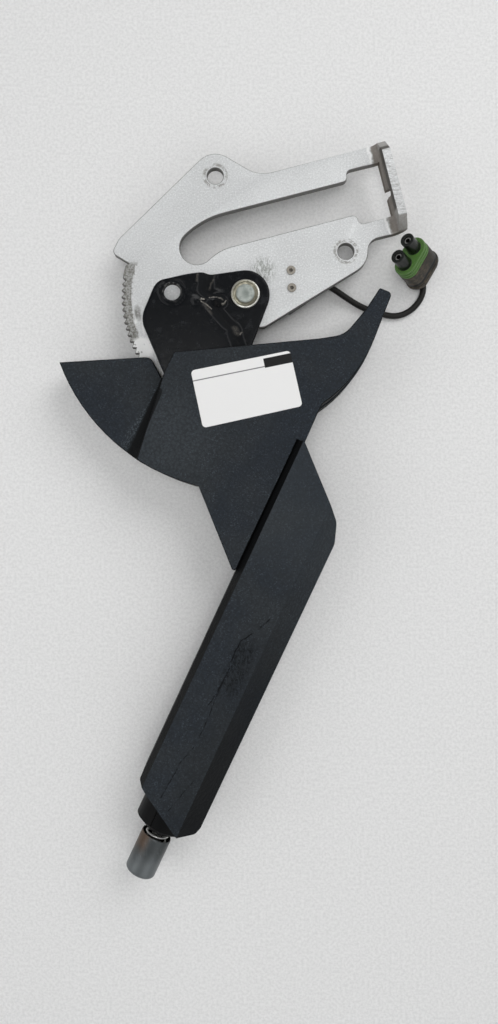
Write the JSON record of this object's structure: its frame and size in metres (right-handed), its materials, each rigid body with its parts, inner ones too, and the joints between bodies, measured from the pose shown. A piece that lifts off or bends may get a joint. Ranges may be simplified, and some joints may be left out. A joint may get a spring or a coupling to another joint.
{
  "type": "parking brake lever",
  "caption": "Hand parking brake lever on a toothed mounting plate, with clevis arm, push-button pawl release, plastic covers and a warning switch on a short lead.",
  "frame": {"origin": "midway between the two mounting holes, on the plate's rear face", "axes": "+Z out of the plate's front face, along the lever's pivot; +Y away from the grip's push button, along the longest extent; +X to the right as seen from the front"},
  "size_m": [0.222, 0.4276, 0.04],
  "materials": {
    "zinc": "zinc plated, fine rolled grain",
    "steel": "plain bright steel",
    "bronze": "oiled sintered bronze",
    "black_paint": "glossy black coating on a pressed sheet",
    "cover_plastic": "dark blue-black, moulded grain",
    "collar_plastic": "smooth black",
    "button_plastic": "satin dark grey",
    "white_plastic": "natural moulded",
    "lead_rubber": "black insulation",
    "connector_plastic": "dark brown-grey moulding",
    "seal_rubber": "green ribbed silicone",
    "brass": "tinned"
  },
  "bodies": {
    "mount_plate": {"ratchet_plate": "zinc", "pivot_bush": "bronze", "switch_body": "collar_plastic", "switch_lid": "collar_plastic", "switch_rivets": "steel", "switch_gland": "lead_rubber", "switch_wire": "lead_rubber", "connector_housing": "connector_plastic", "connector_seal": "seal_rubber", "connector_terminals": "brass", "connector_lock": "connector_plastic", "plunger_spring": "steel"},
    "lever": {"lever_arm": "black_paint", "pivot_rivet": "steel", "pivot_washer": "steel", "switch_cam": "steel", "handle_tube": "steel", "tube_guide": "white_plastic", "front_cover": "cover_plastic", "rear_cover": "cover_plastic", "cover_screws": "steel", "grip_front": "cover_plastic", "grip_rear": "cover_plastic", "grip_screws": "steel", "end_collar": "collar_plastic", "spring_seat": "steel", "pawl_pin": "steel", "button_spring": "steel"},
    "pawl": {"pawl": "steel", "pawl_spring": "steel"},
    "button": {"button": "button_plastic", "release_rod": "steel", "rod_clip": "steel"},
    "plunger": {"switch_plunger": "white_plastic"}
  },
  "joints": [
    {"name": "lever_pivot", "type": "hinge", "parent": "mount_plate", "child": "lever", "pos_m": [-0.0205, -0.0485, 0], "axis": [0, 0, 1], "range_deg": [-48, 6]},
    {"name": "button_slide", "type": "slide", "parent": "lever", "child": "button", "axis": [0.4226, 0.9063, 0], "range_m": [0, 0.007], "stiffness_N_per_m": 900, "deforming": ["button_spring"]},
    {"name": "pawl_hinge", "type": "hinge", "parent": "lever", "child": "pawl", "pos_m": [-0.0305, -0.13, 0.0024], "axis": [0, 0, 1], "range_deg": [0, 6.95]},
    {"name": "plunger_slide", "type": "slide", "parent": "mount_plate", "child": "plunger", "axis": [1, 0, 0], "range_m": [0, 0.003], "stiffness_N_per_m": 300, "deforming": ["plunger_spring"]}
  ],
  "couplings": [
    {"joint": "pawl_hinge", "follows": "button_slide", "rad_per_m": 17.2}
  ]
}
